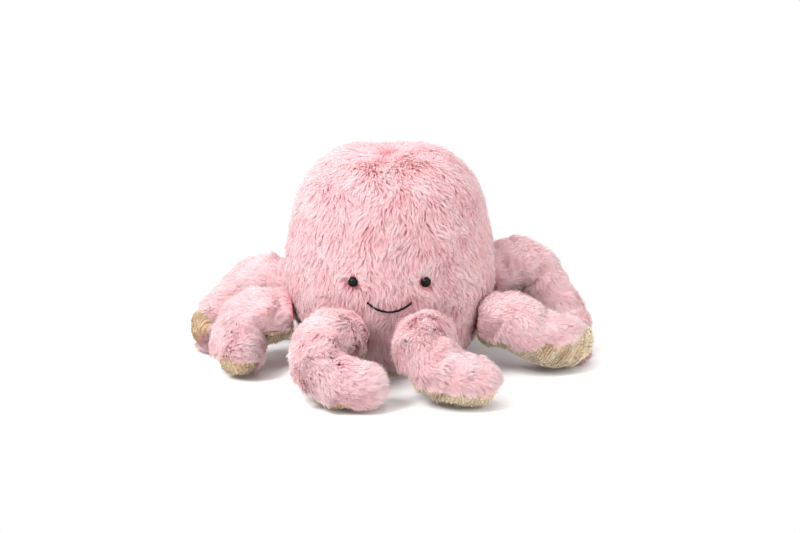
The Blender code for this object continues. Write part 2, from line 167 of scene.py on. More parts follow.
# Pink fur: a knitted polyester backing with a pile of fine polyester fibres, 8 to 12 mm
# long and combed in tufts. The colour runs from a deep rose on the backing and the fibres'
# feet, which is painted shade in the gaps between tufts, to nearly white at the tips, which
# is painted light on the tufts. Real fibres are too fine to show: these are wider.
def fibre_material(name, backing, shaded_foot, tip, pale, dark, clear):
    """Dyed polyester pile: matt, and lit from behind by the clear share of the light.

    The map holds the place along the fibre (u), where the colour goes from painted shade
    at the backing and feet to painted light at the tip, and the tuft's tone (v).
    """
    made, tree, out = new_material(name)
    places = add_node(tree, "ShaderNodeUVMap", {"uv_map": "OFBake"})
    split = add_node(tree, "ShaderNodeSeparateXYZ", {}, {0: places.outputs["UV"]})
    along = add_node(tree, "ShaderNodeValToRGB", {}, {"Fac": split.outputs["X"]})
    # Along the fibre: the deeper backing and foot colours are painted shade, the pale tip colour painted
    # light.
    along.color_ramp.elements[0].color = linear(backing)
    along.color_ramp.elements[1].color = linear(tip)
    along.color_ramp.elements[1].position = 0.85
    along.color_ramp.elements.new(0.16).color = linear(shaded_foot)
    tone = add_node(tree, "ShaderNodeValToRGB", {}, {"Fac": split.outputs["Y"]})
    tone.color_ramp.elements[0].color = linear(dark)
    tone.color_ramp.elements[1].color = linear(pale)
    both = add_node(
        tree,
        "ShaderNodeMix",
        {"data_type": "RGBA", "blend_type": "MULTIPLY", "Factor": 1.0},
    )
    tree.links.new(along.outputs["Color"], both.inputs[6])
    tree.links.new(tone.outputs["Color"], both.inputs[7])
    shader = add_node(
        tree,
        "ShaderNodeBsdfPrincipled",
        {"Roughness": 0.9, "Specular IOR Level": 0.08},
        {"Base Color": both.outputs[2]},
    )
    through = add_node(tree, "ShaderNodeBsdfTranslucent", {}, {"Color": both.outputs[2]})
    mixed = add_node(tree, "ShaderNodeMixShader", {0: clear}, {1: shader.outputs[0], 2: through.outputs[0]})
    tree.links.new(mixed.outputs[0], out.inputs["Surface"])
    return made


# Dyed polyester has a dull surface with almost no gloss, and thin fibres glow through.
# The deep rose backing and foot colours are painted shade in the gaps; the pale tip is painted light.
pink_pile = fibre_material("pink_polyester_pile", "F29AA6", "FCBEC5", "FFF4F5", "FFFFFF", "FEE8EA", 0.5)


def hash_noise(points, size, seed):
    """Smooth noise from -1 to 1 at each point, with features of about the size."""
    shift = Vector((seed * 7.3, seed * 3.1, seed * 5.7))
    return np.array([noise.noise(Vector(p) / size + shift) for p in points])


def unit(v):
    return v / np.maximum(np.linalg.norm(v, axis=-1, keepdims=True), 1e-9)


def scatter(verts, normals, combs, faces, count, rng):
    """Random points on quads: their places, normals and comb directions."""
    a, b, c, d = (verts[faces[:, i]] for i in range(4))
    area = np.linalg.norm(np.cross(c - a, d - b), axis=1) / 2
    chosen = rng.choice(len(faces), count, p=area / area.sum())
    s, t = rng.random((2, count, 1))
    weights = ((1 - s) * (1 - t), s * (1 - t), s * t, (1 - s) * t)
    corners = faces[chosen]
    mixed = []
    for field in (verts, normals, combs):
        mixed.append(sum(w * field[corners[:, i]] for i, w in enumerate(weights)))
    return mixed[0], unit(mixed[1]), unit(mixed[2])


# The share of fibres that lead a tuft, the least and most that a fibre stands, and how far
# tips and middles are drawn to their tuft's.
TUFT_SHARE = 0.24
LEAST_LIFT, MOST_LIFT = 0.20, 0.78
TIPS_DRAWN, MIDDLES_DRAWN = 0.30, 0.16
BACKING_THICKNESS = 0.0008
# Where on the colour map the backing, a fibre's foot, middle and tip, and their tones lie.
# The backing and feet sit in the map's painted shade, the tips in its painted light.
BACKING_U, FOOT_U, MIDDLE_U, MIDDLE_TIP_U, TIP_U = (0.05, 0.10), 0.16, 0.58, 0.55, 0.97
BACKING_V = (0.3, 0.4)
MAP_EDGE = 0.012


def pile(name, skin, count, length, seed, keep, look, width, lift):
    """A piece of fur: its backing skin (verts, normals, combs, faces) and count fibres on it.

    Fibres lean along the comb, drawn together in tufts a few mm apart that swirl a little.
    keep says which roots and tips may stay; look is the material; lift is how steeply the
    fibres stand.
    """
    verts, normals, combs, faces = skin
    rng = np.random.default_rng(seed)
    roots, up, comb = scatter(verts, normals, combs, faces, count, rng)
    tufts = int(count * TUFT_SHARE)
    pick = rng.choice(count, tufts, replace=False)
    tree = KDTree(tufts)
    for i, p in enumerate(roots[pick]):
        tree.insert(p, i)
    tree.balance()
    near = np.array([tree.find(p)[1] for p in roots])
    # Each tuft turns its comb, and has its own length, lean and tone.
    centre, tuft_up, tuft_comb = roots[pick], up[pick], comb[pick]
    turn = 1.3 * hash_noise(centre, 0.026, seed) + 0.7 * hash_noise(centre, 0.010, 3)
    turn = turn + rng.normal(0, 0.18, tufts)
    across = np.cross(tuft_up, tuft_comb)
    tuft_comb = unit(tuft_comb * np.cos(turn)[:, None] + across * np.sin(turn)[:, None])
    tuft_lean = lift + 0.12 * hash_noise(centre, 0.009, 5) + rng.normal(0, 0.06, tufts)
    tuft_length = length * (1 + 0.16 * hash_noise(centre, 0.02, 7) + rng.normal(0, 0.09, tufts))
    tone = np.clip(0.58 + 0.50 * hash_noise(centre, 0.013, 9) + rng.normal(0, 0.10, tufts), 0.02, 0.98)
    lean = (tuft_lean[near] + rng.normal(0, 0.06, count)).clip(LEAST_LIFT, MOST_LIFT)[:, None]
    size = (tuft_length[near] * rng.uniform(0.72, 1.1, count))[:, None]
    comb = unit(tuft_comb[near] + rng.normal(0, 0.13, (count, 3)))
    comb = unit(comb - up * (comb * up).sum(1, keepdims=True))
    middle = roots + size * 0.5 * (up * lean + comb * (1 - 0.45 * lean))
    tip = middle + size * 0.5 * (up * (lean - 0.32) + comb * (1.12 - 0.3 * lean))
    centre_tip = centre + tuft_length[:, None] * (
        tuft_up * (tuft_lean[:, None] - 0.16) + tuft_comb * (1.02 - 0.35 * tuft_lean[:, None])
    )
    tip = tip + (centre_tip[near] - tip) * TIPS_DRAWN
    middle = middle + ((centre[near] + centre_tip[near]) / 2 - middle) * MIDDLES_DRAWN
    stays = keep(roots, tip)
    roots, middle, tip, up, near = (field[stays] for field in (roots, middle, tip, up, near))
    count = len(roots)
    # Each fibre is a flat blade of one four-sided face and one triangle, facing outwards.
    flat = unit(np.cross(tip - roots, up) + rng.normal(0, 0.25, (count, 3)))
    facing = (np.cross(flat, tip - roots) * up).sum(1, keepdims=True)
    flat = flat * np.where(facing < 0, -1, 1)
    broad = width * rng.uniform(0.7, 1.25, (count, 1))
    low = roots - up * BACKING_THICKNESS
    foot_half, middle_half = flat * broad / 2, flat * broad * 0.42
    blades = np.stack(
        [low - foot_half, low + foot_half, middle + middle_half, middle - middle_half, tip], axis=1
    )
    first = len(verts)
    starts = first + 5 * np.arange(count)
    quads = np.concatenate([faces, starts[:, None] + np.array([0, 1, 2, 3])])
    tips = starts[:, None] + np.array([3, 2, 4])
    places = np.concatenate([verts - normals * BACKING_THICKNESS, blades.reshape(-1, 3)])
    mesh = mesh_of(name, places, quads, tips)
    # A tuft takes the light as one soft form: its fibres share the skin's normal.
    bent = unit(up + rng.normal(0, 0.06, (count, 3)))
    shading = np.concatenate([normals, np.repeat(bent, 5, axis=0)])
    mesh.normals_split_custom_set_from_vertices(shading.astype(float).tolist())
    v = tone[near]
    left, right = v - MAP_EDGE, v + MAP_EDGE
    low_v, high_v = BACKING_V
    corners_u = [
        np.tile([BACKING_U[0], BACKING_U[0], BACKING_U[1], BACKING_U[1]], len(faces)),
        np.tile([FOOT_U, FOOT_U, MIDDLE_U, MIDDLE_U], count),
        np.tile([MIDDLE_TIP_U, MIDDLE_TIP_U, TIP_U], count),
    ]
    corners_v = [
        np.tile([low_v, high_v, high_v, low_v], len(faces)),
        np.stack([left, right, right, left], axis=1).ravel(),
        np.stack([left, right, v], axis=1).ravel(),
    ]
    uv = np.stack([np.concatenate(corners_u), np.concatenate(corners_v)], axis=1)
    layer = mesh.uv_layers.new(name="OFBake")
    layer.uv.foreach_set("vector", uv.clip(0.001, 0.999).astype(np.float32).ravel())
    return show(name, mesh, look)


def mesh_of(name, places, quads, tris=np.zeros((0, 3), int)):
    """A smooth-shaded mesh from arrays of corners, four-sided faces and triangles."""
    mesh = bpy.data.meshes.new(name)
    mesh.vertices.add(len(places))
    mesh.vertices.foreach_set("co", np.asarray(places, np.float32).ravel())
    loops = np.concatenate([quads.ravel(), tris.ravel()]).astype(np.int32)
    mesh.loops.add(len(loops))
    mesh.loops.foreach_set("vertex_index", loops)
    mesh.polygons.add(len(quads) + len(tris))
    begin = np.concatenate([4 * np.arange(len(quads)), 4 * len(quads) + 3 * np.arange(len(tris))])
    mesh.polygons.foreach_set("loop_start", begin.astype(np.int32))
    mesh.update(calc_edges=True)
    mesh.shade_smooth()
    return mesh


def show(name, mesh, look):
    made = bpy.data.objects.new(name, mesh)
    mesh.materials.append(look)
    bpy.context.scene.collection.objects.link(made)
    return made


# Tentacles: eight filled sleeves that leave the body low down, arch over and curl on the
# ground. Their sizes and lines are the solids', but for two tips that are rolled a little
# further, to show as much beige as the real ones.
ROOT_CIRCLE, ROOT_HEIGHT, REACH = 0.0995, 0.046, 0.100
ROOT_RADIUS, MID_RADIUS, TIP_RADIUS = 0.0235, 0.0236, 0.0210
SWELL, PRESSED, TIP_LENGTH, TIP_POINTS = 0.07, 0.0005, 0.061, 5
# Each row has the bearing, three places along the root length (out, beside, up), and the
# tip's heading, curl, length, fall and roll.
LIMBS = {
    "front_left": (-23, ((0, 0, 1.0), (0.13, -0.05, 1.0), (0.24, -0.1, 0.85)), (6, 146, 1.24, 0.85, 40)),
    "front_right": (18, ((0, 0, 1.0), (0.13, -0.05, 1.0), (0.24, -0.1, 0.85)), (6, 112, 1.12, 0.85, -25)),
    "right_front": (68, ((0, 0, 1.0), (0.18, 0.0, 0.95), (0.31, 0.01, 0.65)), (22, 90, 1.1, 0.85, -138)),
    "right_back": (108, ((0, 0, 2.1), (0.19, 0.0, 2.3), (0.34, -0.01, 2.05)), (-14, -104, 0.95, 1.0, 35)),
    "back_right": (157, ((0, 0, 1.0), (0.2, 0.0, 0.9), (0.35, -0.01, 0.6)), (-22, -86, 1.0, 0.85, 30)),
    "back_left": (-157, ((0, 0, 1.0), (0.2, 0.0, 0.9), (0.35, 0.01, 0.6)), (22, 86, 1.0, 0.85, -30)),
    "left_back": (-112, ((0, 0, 1.25), (0.2, 0.0, 1.42), (0.36, 0.01, 1.18)), (26, 94, 1.05, 0.85, -130)),
    "left_front": (-76, ((0, 0, 1.0), (0.17, -0.02, 0.95), (0.27, -0.04, 0.75)), (26, 116, 0.86, 0.85, -30)),
}


def lying(radius):
    """The height of the middle of a length that lies pressed on the ground."""
    return radius * (1 + SWELL / 2) - PRESSED


def middle_line(name):
    """A tentacle's middle line as many points, and the number of the point at its hinge."""
    bearing, shares, (heading, curl, length_share, fall, _) = LIMBS[name]
    turn = math.radians(bearing)
    out = np.array([math.sin(turn), -math.cos(turn), 0])
    side = np.array([math.cos(turn), math.sin(turn), 0])
    points = []
    for far, beside, up in shares:
        low = lying(MID_RADIUS)
        height = low + up * (ROOT_HEIGHT - low)
        points.append(out * ROOT_CIRCLE + (out * far + side * beside) * REACH + np.array([0, 0, height]))
    place = points[-1].copy()
    start, end = place[2], lying(TIP_RADIUS)
    for i in range(TIP_POINTS):
        angle = math.radians(heading + curl * (i + 0.5) / TIP_POINTS)
        ahead = out * math.cos(angle) + side * math.sin(angle)
        place = place + ahead * TIP_LENGTH * length_share / TIP_POINTS
        left = max(1 - (i + 1) / TIP_POINTS / fall, 0)
        place[2] = end + (start - end) * left**2
        points.append(place.copy())
    ends = [2 * points[0] - points[1], *points, 2 * points[-1] - points[-2]]
    line = []
    steps = 12
    for a, b, c, d in zip(ends, ends[1:], ends[2:], ends[3:]):
        for step in range(steps):
            t = step / steps
            square, cube = 2 * a - 5 * b + 4 * c - d, 3 * b - a - 3 * c + d
            line.append((2 * b + (c - a) * t + square * t**2 + cube * t**3) / 2)
    line.append(points[-1])
    return np.array(line), 2 * steps, out


SLEEVE_STEP, SLEEVE_LEAD, SLEEVE_SIDES = 0.0032, 0.012, 32
SLEEVE_LUMP, SLEEVE_LUMP_SIZE = 0.0012, 0.012
SLEEVE_LOOSE, SLEEVE_HOLD, SLEEVE_FRAMES = 0.16, 0.22, 16
LARGEST_CREASE = 0.0045


class Limb:
    """A tentacle's form: for a length along it and an angle around it, a place on its skin."""

    def __init__(self, name):
        self.name = name
        self.line, hinge, self.out = middle_line(name)
        self.roll = math.radians(LIMBS[name][2][-1])
        self.curl = LIMBS[name][2][1]
        steps = np.linalg.norm(np.diff(self.line, axis=0), axis=1)
        self.at = np.concatenate([[0], np.cumsum(steps)])
        self.hinge_at = self.at[hinge]
        self.hinge = self.line[hinge]
        self.root = self.line[0]
        self.long = self.at[-1]
        ahead = self.line[hinge + 1] - self.line[hinge - 1]
        self.ahead = unit(np.array([ahead[0], ahead[1], 0.0]))

    def centre(self, s):
        """The middle line at a length, run on straight before its start."""
        s = np.asarray(s, float)
        inside = np.stack([np.interp(s, self.at, self.line[:, i]) for i in range(3)], axis=-1)
        first = unit(self.line[1] - self.line[0])
        return inside + np.minimum(s, 0)[..., None] * first

    def radius(self, s):
        """How thick the tentacle is: each length swells a little, and the tip is rounded."""
        h, e = self.hinge_at, self.long - TIP_RADIUS
        share = np.clip(s / h, 0, 1)
        near = (ROOT_RADIUS + (MID_RADIUS - ROOT_RADIUS) * share) * (1 + SWELL * np.sin(np.pi * share))
        share = np.clip((s - h) / (e - h), 0, 1)
        far = (MID_RADIUS + (TIP_RADIUS - MID_RADIUS) * share) * (1 + SWELL * np.sin(np.pi * share))
        round_off = np.sqrt(np.clip(1 - (np.maximum(s - e, 0) / TIP_RADIUS) ** 2, 0.0004, 1))
        return np.where(s < h, near, far) * round_off

    def frame(self, s):
        """Directions along, to the side and up, which roll over towards the tip."""
        along = unit(self.centre(s + 0.002) - self.centre(s - 0.002))
        side = unit(np.cross(along, np.array([0, 0, 1.0])))
        upper = np.cross(side, along)
        share = np.clip((s - self.hinge_at) / (self.long - self.hinge_at), 0, 1)
        turn = (self.roll * share)[..., None]
        return (
            along,
            side * np.cos(turn) + np.cross(along, side) * np.sin(turn),
            upper * np.cos(turn) + np.cross(along, upper) * np.sin(turn),
        )

    def skin(self, starts, ends, low_deg, high_deg, rings, sides, depth):
        """The skin between two lengths and two angles, some depth under the fur's surface."""
        s = np.linspace(starts, ends, rings)
        s = np.minimum(s, self.long - 0.0002)
        angle = np.radians(np.linspace(low_deg, high_deg, sides + 1))
        along, side, upper = self.frame(s)
        outward = side[:, None] * np.cos(angle)[:, None] + upper[:, None] * np.sin(angle)[:, None]
        radius = np.maximum(self.radius(s) - depth, 0.0012)
        centre = self.centre(s)
        places = centre[:, None] + outward * radius[:, None, None]
        # The filled cloth's own lumps and creases, weaker where the end closes.
        share = np.clip(radius / TIP_RADIUS, 0, 1)[:, None, None]
        places = places + self.creases(s, angle) * share
        places[..., 2] = np.maximum(places[..., 2], 0.0004 + depth * 0.3)
        return places, along, outward

    def creases(self, s, angle):
        """How far the filled cloth lies off the smooth form, read from its simulated grid."""
        rings, sides = self.offsets.shape[:2]
        row = np.clip((s - self.first) / (self.long - 0.0002 - self.first), 0, 1) * (rings - 1)
        column = (angle / (2 * np.pi) % 1) * sides
        low, left = np.minimum(row.astype(int), rings - 2), column.astype(int) % sides
        down, across = (row - low)[:, None, None], (column - column.astype(int))[None, :, None]
        right = (left + 1) % sides
        upper = self.offsets[low][:, left] * (1 - across) + self.offsets[low][:, right] * across
        lower = self.offsets[low + 1][:, left] * (1 - across) + self.offsets[low + 1][:, right] * across
        return upper * (1 - down) + lower * down

    def fill(self):
        """Blow up a loose sleeve of cloth held near the smooth form, and keep where it settles."""
        self.first = -SLEEVE_LEAD
        rings, sides = int((self.long - self.first) / SLEEVE_STEP), SLEEVE_SIDES
        self.offsets = np.zeros((rings, sides, 3))
        smooth, _, _ = self.skin(self.first, self.long, 0, 360, rings, sides, 0)
        smooth = smooth[:, :-1]
        settled = settle(f"{self.name}_sleeve", smooth)
        offsets = settled - smooth
        for _ in range(2):
            offsets = (np.roll(offsets, 1, axis=1) + 2 * offsets + np.roll(offsets, -1, axis=1)) / 4
        self.offsets = np.clip(offsets, -LARGEST_CREASE, LARGEST_CREASE)


def settle(name, grid):
    """A cloth sleeve, cut larger than its form and blown up, after a short simulation."""
    rings, sides = grid.shape[:2]
    number = np.arange(rings * sides).reshape(rings, sides)
    after = np.roll(number, -1, axis=1)
    quads = np.stack([number[:-1], after[:-1], after[1:], number[1:]], axis=-1).reshape(-1, 4)
    # Small lumps at the start give the cloth places to crease.
    lumps = SLEEVE_LUMP * hash_noise(grid.reshape(-1, 3), SLEEVE_LUMP_SIZE, 11)[:, None]
    centre = grid.mean(axis=1, keepdims=True)
    start = grid.reshape(-1, 3) + unit(grid - centre).reshape(-1, 3) * lumps
    sleeve = show(name, mesh_of(name, start, quads), pink_pile)
    held = sleeve.vertex_groups.new(name="held")
    held.add(list(range(rings * sides)), SLEEVE_HOLD, "REPLACE")
    # The two rings at the body are sewn down.
    held.add(list(range(2 * sides)), 1.0, "REPLACE")
    cloth = sleeve.modifiers.new("cloth", "CLOTH")
    cloth.settings.quality = 5
    cloth.settings.mass = 0.3
    cloth.settings.tension_stiffness = 12
    cloth.settings.compression_stiffness = 12
    cloth.settings.shear_stiffness = 6
    cloth.settings.bending_stiffness = 0.6
    cloth.settings.shrink_min = -SLEEVE_LOOSE
    cloth.settings.vertex_group_mass = "held"
    cloth.settings.pin_stiffness = 1.2
    cloth.settings.use_pressure = True
    cloth.settings.uniform_pressure_force = 3.0
    cloth.settings.effector_weights.gravity = 0.0
    cloth.collision_settings.use_collision = False
    cloth.point_cache.frame_start = 1
    cloth.point_cache.frame_end = SLEEVE_FRAMES
    for step in range(1, SLEEVE_FRAMES + 1):
        bpy.context.scene.frame_set(step)
    shape = sleeve.evaluated_get(bpy.context.evaluated_depsgraph_get())
    settled = np.empty(rings * sides * 3, np.float32)
    shape.data.vertices.foreach_get("co", settled)
    mesh = sleeve.data
    bpy.data.objects.remove(sleeve)
    bpy.data.meshes.remove(mesh)
    bpy.context.scene.frame_set(1)
    return settled.reshape(rings, sides, 3).astype(float)


def grid_skin(places, outward, combs):
    """A grid of places as a skin: verts, normals, combs and faces."""
    rings, sides = places.shape[:2]
    normals = unit(np.cross(np.gradient(places, axis=0), np.gradient(places, axis=1)))
    normals = normals * np.sign((normals * outward).sum(-1, keepdims=True) + 1e-9)
    number = np.arange(rings * sides).reshape(rings, sides)
    corners = [number[:-1, :-1], number[1:, :-1], number[1:, 1:], number[:-1, 1:]]
    faces = np.stack(corners, axis=-1).reshape(-1, 4)
    return places.reshape(-1, 3), normals.reshape(-1, 3), combs.reshape(-1, 3), faces


limbs = {name: Limb(name) for name in LIMBS}
for limb in limbs.values():
    limb.fill()


# Head: four panels of the pink fur, sewn edge to edge over the filled form. Their points
# meet at the crown, where the seams pull in a dip between two low bumps. The pile is
# combed down from the crown.
HEAD_RADIUS, HEAD_HEIGHT, BASE_RADIUS = 0.0945, 0.195, 0.056
HEAD_OUTLINE = np.array(
    (
        (0.0, 0.972), (0.14, 0.985), (0.27, 1.0), (0.42, 0.986), (0.56, 0.952), (0.70, 0.888),
        (0.82, 0.80), (0.90, 0.70), (0.965, 0.585), (0.992, 0.49), (1.0, 0.405), (0.975, 0.31),
        (0.93, 0.225), (0.86, 0.145), (0.76, 0.068), (BASE_RADIUS / HEAD_RADIUS, 0.0),
    )
)
EYE_RADIUS, EYE_ASIDE, EYE_HEIGHT = 0.0046, 0.031, 0.0934
EYE_FORWARD = -0.0835
EYES = [np.array([side * EYE_ASIDE, EYE_FORWARD, EYE_HEIGHT]) for side in (-1, 1)]
PARTED, ROOTS_CLEAR, TIPS_CLEAR = 0.0085, 0.0044, 0.0042
SEAM_DEPTH, SHOULDER, CROWN_RISE, CROWN_DIP = 0.0022, 0.0032, 0.0022, 0.0050


def head_line(count):
    """Radius and height down the head, evenly spaced along its outline."""
    points = HEAD_OUTLINE * (HEAD_RADIUS, HEAD_HEIGHT)
    at = np.concatenate([[0], np.cumsum(np.linalg.norm(np.diff(points, axis=0), axis=1))])
    wanted = np.linspace(0, at[-1], count)
    line = np.stack([np.interp(wanted, at, points[:, i]) for i in range(2)], axis=1)
    for _ in range(6):
        line[1:-1] = (line[:-2] + 2 * line[1:-1] + line[2:]) / 4
    return line


def sunk_line(count, depth):
    """The head's outline some depth under the fur's surface, and the way inwards."""
    line = head_line(count)
    run = np.gradient(line, axis=0)
    inward = unit(np.stack([run[:, 1], -run[:, 0]], axis=1))
    inward[0] = (0, -1)
    return line + inward * depth, inward


def head_skin(middle_deg, depth, rings=70, sides=36):
    """One panel's backing, a quarter of the head about a bearing."""
    line, inward = sunk_line(rings, depth)
    line[:, 0] = np.maximum(line[:, 0], 0.0004)
    angle = np.radians(np.linspace(middle_deg - 45, middle_deg + 45, sides + 1))
    ring = np.stack([np.cos(angle), np.sin(angle), 0 * angle], axis=1)
    # The seams at the panels' edges draw the form in a little.
    to_edge = np.abs(np.abs(angle - math.radians(middle_deg)) - math.pi / 4)
    seam = SEAM_DEPTH * np.exp(-((to_edge / 0.10) ** 2))
    height = line[:, 1]
    share = np.clip((height / HEAD_HEIGHT - 0.35) / 0.5, 0, 1)
    shoulder = np.exp(-(((height / HEAD_HEIGHT - 0.82) / 0.16) ** 2)) * np.clip(line[:, 0] / 0.04, 0, 1)
    radius = line[:, 0][:, None] - seam[None] * share[:, None] + SHOULDER * shoulder[:, None]
    places = ring[None] * radius[..., None]
    places[..., 2] = height[:, None]
    # The front and back seams pull the crown down between two low bumps.
    rim = np.exp(-(((line[:, 0] - 0.026) / 0.024) ** 2)) * (height > HEAD_HEIGHT * 0.7)
    places[..., 2] += CROWN_RISE * share[:, None]
    places[..., 2] -= CROWN_DIP * rim[:, None] * (np.sin(angle) ** 2)[None]
    outward = ring[None] * (-inward[:, 0])[:, None, None]
    outward = outward + np.array([0, 0, 1.0]) * (-inward[:, 1])[:, None, None]
    combs = unit(np.gradient(places, axis=0))
    # Round each eye the pile parts and leans away from it.
    for eye in EYES:
        away = places - eye
        share = np.exp(-((np.linalg.norm(away, axis=-1, keepdims=True) / PARTED) ** 2))
        combs = unit(combs * (1 - share) + 1.5 * share * unit(away))
    return grid_skin(places, outward, combs)


MOUTH_WIDTH, MOUTH_HEIGHT, MOUTH_RISE = 0.039, 0.0690, 0.0085


def limb_distance(points, grown):
    """How far outside the nearest tentacle's root each point is."""
    nearest = np.full(len(points), 9.0)
    for limb in limbs.values():
        s = np.linspace(-0.01, limb.hinge_at, 12)
        centre = limb.centre(s)
        gap = np.linalg.norm(points[:, None] - centre[None], axis=2) - limb.radius(s)[None] - grown
        nearest = np.minimum(nearest, gap.min(axis=1))
    return nearest


def inside_head(points, inset):
    """Which points lie deeper in the head than the inset."""
    line = head_line(60)
    radius = np.interp(points[:, 2], line[::-1, 1], line[::-1, 0])
    return np.linalg.norm(points[:, :2], axis=1) < radius - inset


def head_keep(roots, tip):
    """Where the head's pile may be: off the tentacles' roots, the eyes and most of the smile."""
    stays = limb_distance(roots, -0.007) > 0
    for eye in EYES:
        stays &= np.linalg.norm(roots - eye, axis=1) > ROOTS_CLEAR
        stays &= np.linalg.norm(tip - eye - np.array([0, -0.004, 0]), axis=1) > TIPS_CLEAR
    aside = np.abs(tip[:, 0])
    smile = MOUTH_HEIGHT + MOUTH_RISE * (2 * tip[:, 0] / MOUTH_WIDTH) ** 2
    clear = 0.0013 * np.clip(0.25 + 2.2 * aside / MOUTH_WIDTH, 0, 1)
    stays &= (aside > MOUTH_WIDTH / 2) | (tip[:, 1] > 0) | (np.abs(tip[:, 2] - smile) > clear)
    return stays & (tip[:, 2] > 0.001)


HEAD_FIBRES = 62000
BACKING_DEPTH = 0.0050
FIBRE_WIDTH = 0.0008
for panel, bearing in (("face", -90), ("right_side", 0), ("back", 90), ("left_side", 180)):
    fur = pile(
        f"{panel}_fur",
        head_skin(bearing, BACKING_DEPTH),
        HEAD_FIBRES,
        length=0.0105,
        seed=20 + abs(bearing) // 10 + (bearing < 0),
        keep=head_keep,
        look=pink_pile,
        width=FIBRE_WIDTH,
        lift=0.50,
    )
    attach(fur, "body")
    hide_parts(f"{panel}_fur_panel")


# Tentacle fur: a strip of the pink fur covers each tentacle over its top and sides, its
# pile combed towards the tip. It is cut in two lengths here, just before the hinge.
LIMB_FIBRES = 46000
COUNTED_LENGTH = 0.08
SPLIT = 0.020
# Where the fur's edges and the underside's lie, as angles about the tentacle's middle line.
CORNERS = (-22.5, 202.5, 337.5)


def hinge_blend(piece, part):
    """Bake a piece of a tentacle's placing into its mesh, alike for either part."""
    if part == "root":
        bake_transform(piece)
    else:
        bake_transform(piece)


def limb_parts(limb):
    """Where a tentacle's two lengths start and end."""
    cut = limb.hinge_at - SPLIT
    return ("root", -0.010, cut), ("tip", cut, limb.long)


def limb_keep(roots, tip):
    """Where a tentacle's pile may be: outside the head and above the ground."""
    return ~inside_head(roots, 0.004) & (tip[:, 2] > 0.0003)


for number, (name, limb) in enumerate(limbs.items()):
    for part, start, end in limb_parts(limb):
        rings = max(8, int((end - start) / 0.003))
        places, along, outward = limb.skin(start, end, *CORNERS[:2], rings, 24, BACKING_DEPTH)
        combs = np.repeat(along[:, None], places.shape[1], axis=1)
        fur = pile(
            f"{name}_{part}_pile",
            grid_skin(places, outward, combs),
            int(LIMB_FIBRES * (end - start) / COUNTED_LENGTH),
            length=0.0110,
            seed=50 + 2 * number + (part == "tip"),
            keep=limb_keep,
            look=pink_pile,
            width=FIBRE_WIDTH,
            lift=0.68,
        )
        hinge_blend(fur, part)
        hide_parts(f"{name}_{part}_fur")


# Undersides: beige polyester plush with a short pile in ribs 2 mm apart, which run around
# the tentacle. Each is sewn edge to edge with the fur. The dense short pile lets little
# light through, and reads as fine pale ridges.
# The deeper beige backing and foot colours are painted shade in the troughs and gaps; the pale tip is
# painted light.
ribbed_beige = fibre_material("ribbed_beige_plush", "FADBB4", "FFEBCC", "FFF8E8", "FFFFFF", "FFF4E6", 0.2)
RIB_PITCH = 0.002
RIB_DEPTH = 0.0011
RINGS_PER_RIB = 5
CLOTH_DEPTH = 0.0030
RIB_FIBRES = 20000

for number, (name, limb) in enumerate(limbs.items()):
    for part, start, end in limb_parts(limb):
        rings = int((end - start) / RIB_PITCH * RINGS_PER_RIB)
        places, along, outward = limb.skin(start, end, *CORNERS[1:], rings, 22, CLOTH_DEPTH)
        rib = np.cos(np.linspace(0, (end - start) / RIB_PITCH, rings) * 2 * np.pi)
        across = np.sin(np.linspace(0, np.pi, places.shape[1])) ** 0.3
        places = places + outward * (RIB_DEPTH * rib[:, None] * across)[..., None]
        places[..., 2] = np.maximum(places[..., 2], 0.0006)
        combs = np.repeat(along[:, None], places.shape[1], axis=1)
        cloth = pile(
            f"{name}_{part}_ribbed_cloth",
            grid_skin(places, outward, combs),
            int(RIB_FIBRES * (end - start) / COUNTED_LENGTH),
            length=0.0018,
            seed=90 + 2 * number + (part == "tip"),
            keep=limb_keep,
            look=ribbed_beige,
            width=0.0005,
            lift=0.9,
        )
        hinge_blend(cloth, part)
        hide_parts(f"{name}_{part}_underside")


# Base: a round of the same ribbed plush, sewn to the head's lower edge, closes the body
# from below. It is flat on the ground, its ribs facing down.
# At this scale the wave pattern repeats about once in each unit, so once for each size.
ONE_BAND = 0.3183


def textured(name, colours, size, settings, bump=0.0, stretch=(1, 1, 1), kind="noise"):
    """A material whose colour wavers between two, with a relief of the same pattern; size in mm."""
    made, tree, out = new_material(name)
    place = add_node(tree, "ShaderNodeTexCoord").outputs["Object"]
    scale = tuple(1000 * s / size for s in stretch)
    scaled = add_node(tree, "ShaderNodeMapping", {"Scale": scale}, {"Vector": place}).outputs[0]
    if kind == "noise":
        grain = {"Scale": 1.0, "Detail": 5.0}
        value = add_node(tree, "ShaderNodeTexNoise", grain, {"Vector": scaled}).outputs["Fac"]
    else:
        threads = {}
        for number, direction in enumerate("XY"):
            bands = {"Scale": ONE_BAND, "bands_direction": direction}
            wave = add_node(tree, "ShaderNodeTexWave", bands, {"Vector": scaled})
            threads[number] = wave.outputs["Fac"]
        value = add_node(tree, "ShaderNodeMath", {"operation": "MAXIMUM"}, threads).outputs[0]
    ramp = add_node(tree, "ShaderNodeValToRGB", {}, {"Fac": value})
    ramp.color_ramp.elements[0].position = 0.3
    ramp.color_ramp.elements[0].color = linear(colours[0])
    ramp.color_ramp.elements[1].position = 0.7
    ramp.color_ramp.elements[1].color = linear(colours[1])
    shader = add_node(tree, "ShaderNodeBsdfPrincipled", settings, {"Base Color": ramp.outputs["Color"]})
    if bump:
        relief = add_node(tree, "ShaderNodeBump", {"Distance": bump, "Strength": 1.0}, {"Height": value})
        tree.links.new(relief.outputs["Normal"], shader.inputs["Normal"])
    tree.links.new(shader.outputs[0], out.inputs["Surface"])
    return made


